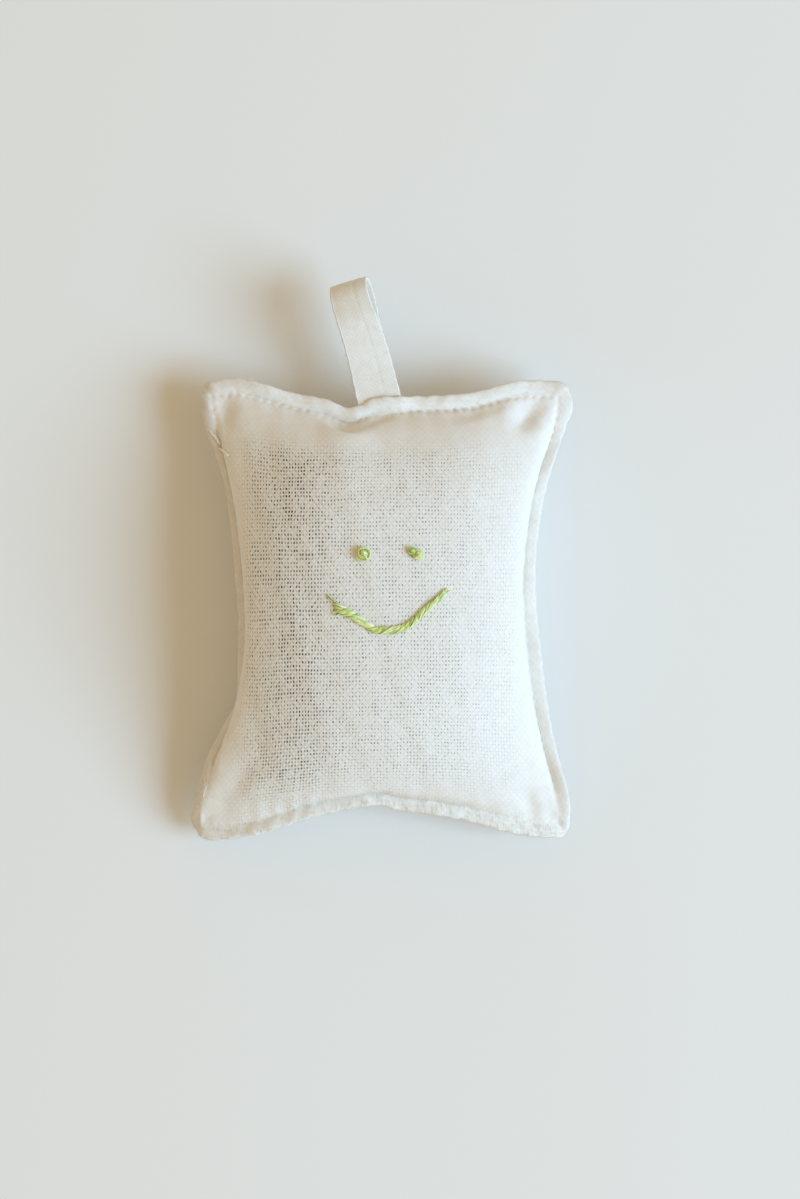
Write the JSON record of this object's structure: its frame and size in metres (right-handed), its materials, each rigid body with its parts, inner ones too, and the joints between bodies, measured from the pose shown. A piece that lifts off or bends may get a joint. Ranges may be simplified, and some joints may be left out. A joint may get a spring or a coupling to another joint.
{
  "type": "lavender sachet",
  "caption": "Small stuffed linen sachet with an embroidered smile, French-knot eyes, a topstitched seam and a folded hanging loop.",
  "frame": {"origin": "middle of the flat patch that the back panel rests on, which is the middle of the stuffed body", "axes": "+X to the right of the smile as it is read, +Y towards the hanging loop, +Z out of the front panel"},
  "size_m": [0.0914, 0.1333, 0.0379],
  "materials": {
    "linen": "matt",
    "green_floss": "satin",
    "wadding": "matt",
    "lavender": "matt",
    "cotton_thread": "matt"
  },
  "bodies": {
    "sachet": {"front_panel": "linen", "back_panel": "linen", "front_wadding": "wadding", "back_wadding": "wadding", "lavender_buds": "lavender", "mouth_floss": "green_floss", "left_eye_knot": "green_floss", "right_eye_knot": "green_floss", "front_seam_thread": "cotton_thread", "back_seam_thread": "cotton_thread", "thread_tail": "cotton_thread", "loop_tails": "linen"},
    "loop": {"hanging_loop": "linen"}
  },
  "joints": [
    {"name": "loop_swing", "type": "hinge", "parent": "sachet", "child": "loop", "pos_m": [-0.00211, 0.05023, 0.0168], "axis": [0.979, 0.2039, 0], "range_deg": [-75, 75], "stiffness_Nm_per_rad": 0.0015}
  ]
}
